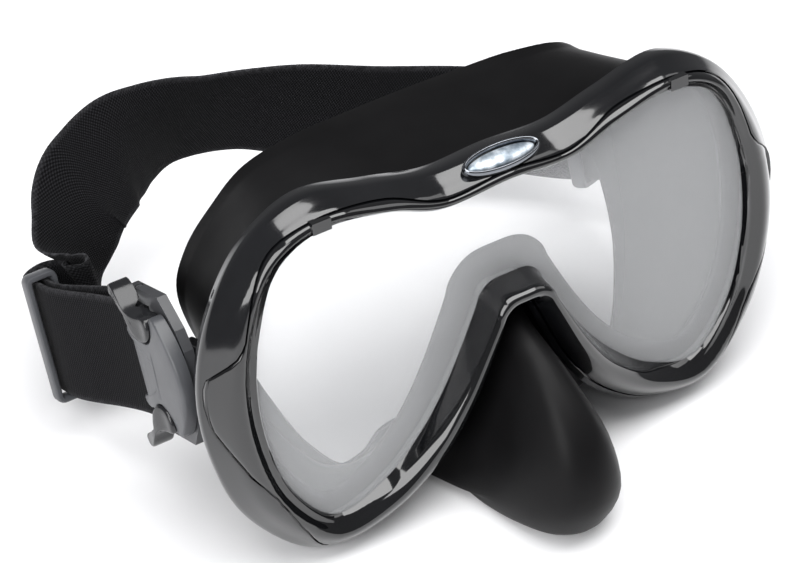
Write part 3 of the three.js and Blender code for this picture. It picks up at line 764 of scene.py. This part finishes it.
def plastic(name, dark, light, rough, grain, bump, coat=0.0):
    look = Look(name, Coat_Weight=coat, Coat_Roughness=0.03)
    look.into("Base Color", look.ramp(look.noise(60, 4), [(0.3, dark), (0.7, light)]))
    look.into("Roughness", look.spread(look.noise(140, 5), rough * 0.8, rough * 1.25))
    look.into("Normal", look.bump(look.noise(grain, 2), bump, 0.0002))
    return look.material


def silicone_look():
    look = Look("silicone_satin", Specular_IOR_Level=0.12)
    shades = [(0.3, (0.0032, 0.0031, 0.0034)), (0.7, (0.0055, 0.0053, 0.0057))]
    look.into("Base Color", look.ramp(look.noise(45, 4), shades))
    look.into("Roughness", look.spread(look.noise(120, 4), 0.38, 0.5))
    fine = look.bump(look.noise(2600, 2), 0.12, 0.0001)
    look.into("Normal", look.bump(look.noise(70, 2), 0.05, 0.0006, fine))
    return look.material


def webbing_look():
    """Ribbed elastic webbing: rows of knitted loops, with a painted highlight along its edges."""
    look = Look(
        "woven_webbing", Roughness=0.92, Sheen_Weight=0.02, Sheen_Roughness=0.4, Specular_IOR_Level=0.06
    )
    split = look.node("SeparateXYZ")
    look.link(look.coords.outputs["UV"], split.inputs["Vector"])

    def wave(output, pitch_mm):
        scaled = look.node("Math", operation="MULTIPLY")
        scaled.inputs[1].default_value = 2 * math.pi / (pitch_mm / 1000)
        look.link(output, scaled.inputs[0])
        sine = look.node("Math", operation="SINE")
        look.link(scaled.outputs[0], sine.inputs[0])
        return sine.outputs[0]

    def combine(kind, a, b):
        node = look.node("Math", operation=kind)
        look.link(a, node.inputs[0])
        look.link(b, node.inputs[1])
        return node.outputs[0]

    warp = wave(split.outputs["Y"], 1.1)
    weft = wave(split.outputs["X"], 0.8)
    weave = combine("MULTIPLY", warp, weft)
    fibres = look.noise(3200, 4)
    height = combine("ADD", weave, fibres)
    # The lighter band along both edges of the strap is a painted highlight.
    edge = look.node("Math", operation="ABSOLUTE")
    look.link(split.outputs["Y"], edge.inputs[0])
    edge_highlight_mask = look.node("MapRange")
    for key, value in {"From Min": 0.0134, "From Max": 0.0151, "To Min": 0.0, "To Max": 1.0}.items():
        edge_highlight_mask.inputs[key].default_value = value
    look.link(edge.outputs[0], edge_highlight_mask.inputs["Value"])
    shades = [(0.1, (0.003, 0.003, 0.0035)), (0.55, (0.007, 0.007, 0.0078)), (0.95, (0.018, 0.018, 0.020))]
    body = look.ramp(height, shades)
    # Colour of the painted highlight along the strap's edges.
    rim = look.ramp(look.noise(900, 3), [(0.3, (0.012, 0.012, 0.013)), (0.7, (0.045, 0.045, 0.049))])
    mix = look.node("Mix", data_type="RGBA")
    look.link(edge_highlight_mask.outputs["Result"], mix.inputs["Factor"])
    look.link(body, mix.inputs[6])
    look.link(rim, mix.inputs[7])
    look.into("Base Color", mix.outputs[2])
    ribs = look.bump(height, 0.5, 0.00035)
    look.into("Normal", look.bump(look.noise(160, 3), 0.15, 0.0008, ribs))
    return look.material


def metal(name, tint, rough):
    look = Look(name, Metallic=1.0)
    look.into("Base Color", look.ramp(look.noise(80, 3), [(0.3, tuple(0.9 * c for c in tint)), (0.7, tint)]))
    look.into("Roughness", look.spread(look.noise(300, 4), rough * 0.7, rough * 1.4))
    look.into("Normal", look.bump(look.noise(1500, 2), 0.03, 0.0001))
    return look.material


def badge_look():
    """Silver foil under a clear domed resin, mottled by what the dome reflects."""
    look = Look("badge_foil", Metallic=0.6, Roughness=0.42, Coat_Weight=0.35, Coat_Roughness=0.08)
    shades = [(0.36, (0.16, 0.2, 0.24)), (0.5, (0.34, 0.39, 0.44)), (0.62, (0.66, 0.72, 0.77))]
    look.into("Base Color", look.ramp(look.noise(330, 3), shades))
    look.into("Normal", look.bump(look.noise(420, 2), 0.25, 0.0006))
    return look.material


def glass_look():
    """Tempered pane: clear to look through, with a faint grey veil and a sharp reflection."""
    look = Look("clear_pane", IOR=1.5, Alpha=0.2)
    shades = [(0.3, (0.9, 0.91, 0.93)), (0.7, (0.93, 0.94, 0.96))]
    look.into("Base Color", look.ramp(look.noise(30, 2), shades))
    look.into("Roughness", look.spread(look.noise(60, 3), 0.02, 0.04))
    return look.material


GLOSS = plastic("gloss_frame", (0.004, 0.0042, 0.005), (0.007, 0.0073, 0.0085), 0.1, 500, 0.015, 0.5)
BEZEL = plastic("gloss_bezel", (0.0025, 0.0026, 0.003), (0.0045, 0.0047, 0.0055), 0.06, 500, 0.012, 0.6)
SATIN = plastic("satin_buckle", (0.046, 0.048, 0.053), (0.062, 0.064, 0.07), 0.36, 1800, 0.08)
TAB = plastic("polished_horn", (0.009, 0.0092, 0.0105), (0.014, 0.0143, 0.016), 0.2, 900, 0.05)
# The yoke's material is the buckle's satin made darker: painted shade where the yoke sits behind the cover.
SHADE = plastic("yoke_painted_shade", (0.03, 0.031, 0.034), (0.045, 0.046, 0.05), 0.4, 1500, 0.06)
PALE = plastic("satin_grey_arm", (0.2, 0.205, 0.22), (0.27, 0.275, 0.29), 0.3, 1500, 0.06)
SILICONE = silicone_look()
WEBBING = webbing_look()
STEEL = metal("clip_steel", (0.6, 0.61, 0.63), 0.25)
CHROME = metal("badge_chrome", (0.2, 0.21, 0.23), 0.08)
SILVER = badge_look()
GLASS = glass_look()


def place(obj, body, look, slot_name, *nodes):
    """Gives a piece its material and its body, and hides the CAD nodes that it stands for; slot_name is not
    used.
    """
    obj.data.materials.clear()
    obj.data.materials.append(look)
    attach(obj, body)
    if nodes:
        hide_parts(*nodes)


def recolour(node, look):
    materials = frame["nodes"][node].data.materials
    if len(materials):
        materials[0] = look
    else:
        materials.append(look)


# ---- the mask ----
SKIRT_PANELS = ["skirt_brow"] + [
    f"{side}_{part}"
    for side in ("left", "right") for part in ("nose_pocket", "skirt_side", "skirt_cheek")
]
place(make_bezel(), "mask_body", BEZEL, "bezel", "front_bezel")
place(make_frame(), "mask_body", GLOSS, "frame", "main_frame")
place(make_skirt(), "mask_body", SILICONE, "silicone", *SKIRT_PANELS)
place(make_badge_rim(), "mask_body", CHROME, "badge_rim", "badge_ring")
place(make_badge_dome(), "mask_body", SILVER, "badge_face", "badge_insert")
band, band_length = make_strap()
place(band, "right_buckle", WEBBING, "webbing", "strap")

for name, side in [("right", -1), ("left", 1)]:
    body = f"{name}_buckle"
    cover = pillow(f"{name}_cover_plate", cover_outline(), COVER_SPINE, cover_inner, cover_outer, side)
    place(cover, body, SATIN, "hardware", f"{name}_buckle_cover")
    for end, word in [(1, "upper"), (-1, "lower")]:
        spine = [(y, end * z) for y, z in HORN_SPINE]
        horn = pillow(f"{name}_{word}_tab", horn_outline(end), spine, horn_inner, horn_outer, side, 0.9)
        place(horn, f"{name}_{word}_release", TAB, "tab", f"{name}_{word}_horn")
    keeper = keeper_piece(f"{name}_keeper_bar", side)
    place(keeper, f"{name}_keeper", SATIN, "hardware", f"{name}_strap_slider")
    lug = slab(f"{name}_temple_arm", lug_outline(), *LUG_X, side, 0.7)
    place(lug, "mask_body", GLOSS, "frame")
    post = slab(f"{name}_swivel_post", arc(PIVOT[1:], POST_R, 0, 348, 30), *POST_X, side, 0.3)
    place(post, "mask_body", PALE, "frame")
    # The yoke gets the darker copy of the satin, which is painted shade.
    for node, look in [
        ("swivel_yoke", SHADE), ("swivel_clip", STEEL), ("roller_pin", STEEL),
        ("strap_roller", SATIN), ("lock_tab", BEZEL),
    ]:
        recolour(f"{name}_{node}", look)
recolour("lens", GLASS)


# ---- studio ----
def make_floor():
    mesh = bpy.data.meshes.new("studio_floor")
    far = 4.0
    mesh.from_pydata([(-far, -far, 0), (far, -far, 0), (far, far, 0), (-far, far, 0)], [], [(0, 1, 2, 3)])
    floor = bpy.data.objects.new("studio_floor", mesh)
    bpy.context.scene.collection.objects.link(floor)
    look = Look("pale_floor", Roughness=0.6, Specular_IOR_Level=0.2)
    shades = [(0.3, (0.9, 0.9, 0.915)), (0.7, (0.92, 0.92, 0.93))]
    look.into("Base Color", look.ramp(look.noise(3, 2), shades))
    mesh.materials.append(look.material)


def make_softbox(name, place_m, target, size, power):
    light = bpy.data.lights.new(name, "AREA")
    light.shape = "RECTANGLE"
    light.size, light.size_y = size
    light.energy = power
    obj = bpy.data.objects.new(name, light)
    obj.location = place_m
    obj.rotation_euler = (Vector(target) - Vector(place_m)).to_track_quat("-Z", "Y").to_euler()
    bpy.context.scene.collection.objects.link(obj)


make_floor()
middle = (SHIFT[0], SHIFT[1], 0.05)
make_softbox("key_softbox", (-1.0, -0.55, 0.75), middle, (0.9, 1.0), 15)
make_softbox("top_softbox", (0.0, -0.15, 1.2), middle, (1.3, 0.8), 19)
make_softbox("right_softbox", (0.9, -0.2, 0.9), middle, (0.5, 0.7), 2)

scene = bpy.context.scene
scene.world = bpy.data.worlds.new("studio_air")
scene.world.use_nodes = True
air = scene.world.node_tree.nodes["Background"]
air.inputs["Color"].default_value = (0.97, 0.975, 1.0, 1)
air.inputs["Strength"].default_value = 0.2
scene.view_settings.view_transform = "Standard"

camera_data = bpy.data.cameras.new("camera")
camera_data.lens = 133.7
camera_data.sensor_width = 36
CAMERA_FROM_LENS = Vector((-0.3125, -0.4469, 0.4760))
camera = bpy.data.objects.new("camera", camera_data)
right = Vector((0.8443, -0.5358, -0.0022))
up = Vector((0.3517, 0.5510, 0.7568))
back = Vector((-0.4043, -0.6397, 0.6536))
turned = Matrix((right, up, back)).transposed().to_4x4()
camera.matrix_world = Matrix.Translation(SHIFT + CAMERA_FROM_LENS) @ turned
scene.collection.objects.link(camera)
scene.camera = camera

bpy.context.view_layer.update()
